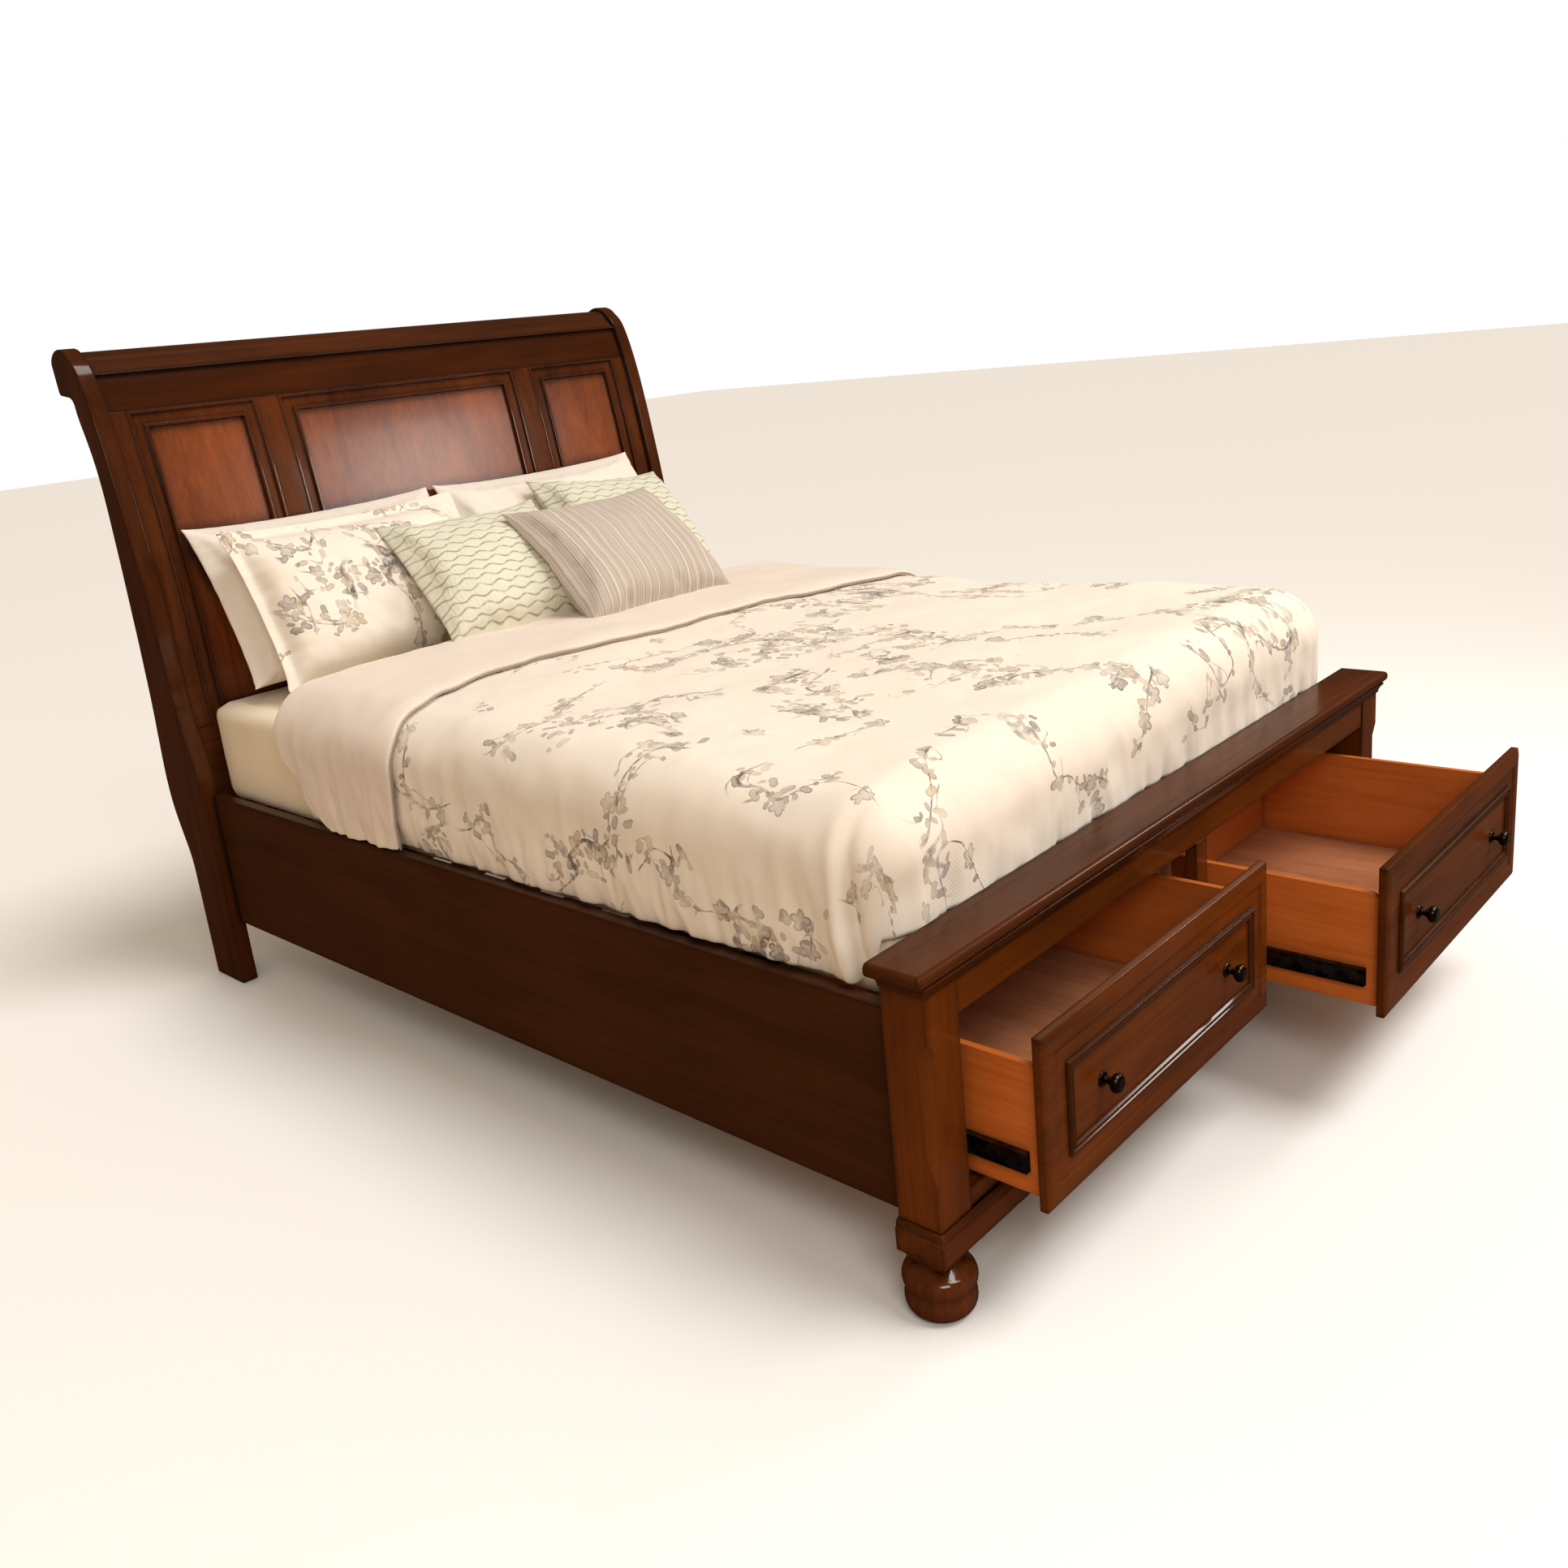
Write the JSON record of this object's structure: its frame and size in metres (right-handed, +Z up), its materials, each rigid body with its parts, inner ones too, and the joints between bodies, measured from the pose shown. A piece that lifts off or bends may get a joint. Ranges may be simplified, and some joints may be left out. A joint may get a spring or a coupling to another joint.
{
  "type": "sleigh storage bed",
  "caption": "Queen sleigh storage bed with a scrolled, panelled headboard, low footboard with drawers on bun feet, side rails, slats, mattress, printed comforter and cushions.",
  "frame": {"origin": "bottom centre of the whole box on the floor, with the drawers in their rest openings", "axes": "+X across the bed to the right as seen from the foot, +Y from the foot to the head, +Z up"},
  "size_m": [1.69, 2.7148, 1.531],
  "materials": {
    "headboard_wood": "gloss cherry stain with dark glaze",
    "footboard_wood": "gloss dark cherry stain with dark glaze",
    "rail_wood": "gloss dark cherry stain",
    "drawer_box_wood": "satin stained hardwood",
    "drawer_bottom_wood": "satin plywood",
    "case_wood": "matt plywood",
    "slat_wood": "plain pine",
    "slide_steel": "black",
    "plate_steel": "zinc plated",
    "knob_bronze": "dark bronze, gloss",
    "glide_plastic": "black",
    "mattress_fabric": "cream woven sheet",
    "comforter_fabric": "ivory cotton with a printed sprig",
    "white_fabric": "white cotton",
    "floral_fabric": "ivory cotton with a printed sprig",
    "sage_fabric": "sage green smocked cotton",
    "striped_fabric": "greige pin-tucked cotton"
  },
  "bodies": {
    "bed_frame": {"bun_foot_left": "footboard_wood", "bun_foot_right": "footboard_wood", "case_back": "case_wood", "case_bottom": "case_wood", "case_sides": "case_wood", "centre_beam": "slat_wood", "centre_legs": "slat_wood", "comforter": "comforter_fabric", "floral_pillow": "floral_fabric", "footboard_back_panel": "footboard_wood", "footboard_base_moulding": "footboard_wood", "footboard_bottom_rail": "footboard_wood", "footboard_cap": "footboard_wood", "footboard_cap_cove": "footboard_wood", "footboard_centre_stile": "footboard_wood", "footboard_post_left": "footboard_wood", "footboard_post_right": "footboard_wood", "footboard_top_rail": "footboard_wood", "headboard_bottom_rail": "headboard_wood", "headboard_crest_rail": "headboard_wood", "headboard_mullion_left": "headboard_wood", "headboard_mullion_right": "headboard_wood", "headboard_panel_centre": "headboard_wood", "headboard_panel_left": "headboard_wood", "headboard_panel_mouldings": "headboard_wood", "headboard_panel_right": "headboard_wood", "headboard_post_left": "headboard_wood", "headboard_post_right": "headboard_wood", "headboard_stile_left": "headboard_wood", "headboard_stile_right": "headboard_wood", "headboard_top_rail": "headboard_wood", "leg_glides": "glide_plastic", "mattress": "mattress_fabric", "rail_hook_plates": "plate_steel", "sage_pillow_left": "sage_fabric", "sage_pillow_right": "sage_fabric", "side_rail_left": "rail_wood", "side_rail_right": "rail_wood", "slat_ledgers": "slat_wood", "slats": "slat_wood", "slide_channels": "slide_steel", "striped_pillow": "striped_fabric", "white_pillow_left": "white_fabric", "white_pillow_right": "white_fabric"},
    "left_drawer": {"left_drawer_back": "drawer_box_wood", "left_drawer_bottom": "drawer_bottom_wood", "left_drawer_front": "footboard_wood", "left_drawer_knobs": "knob_bronze", "left_drawer_moulding": "footboard_wood", "left_drawer_runners": "slide_steel", "left_drawer_sides": "drawer_box_wood"},
    "right_drawer": {"right_drawer_back": "drawer_box_wood", "right_drawer_bottom": "drawer_bottom_wood", "right_drawer_front": "footboard_wood", "right_drawer_knobs": "knob_bronze", "right_drawer_moulding": "footboard_wood", "right_drawer_runners": "slide_steel", "right_drawer_sides": "drawer_box_wood"}
  },
  "joints": [
    {"name": "left_drawer_slide", "type": "slide", "parent": "bed_frame", "child": "left_drawer", "axis": [0, -1, 0], "range_m": [-0.13, 0.21]},
    {"name": "right_drawer_slide", "type": "slide", "parent": "bed_frame", "child": "right_drawer", "axis": [0, -1, 0], "range_m": [-0.306, 0.034]}
  ]
}
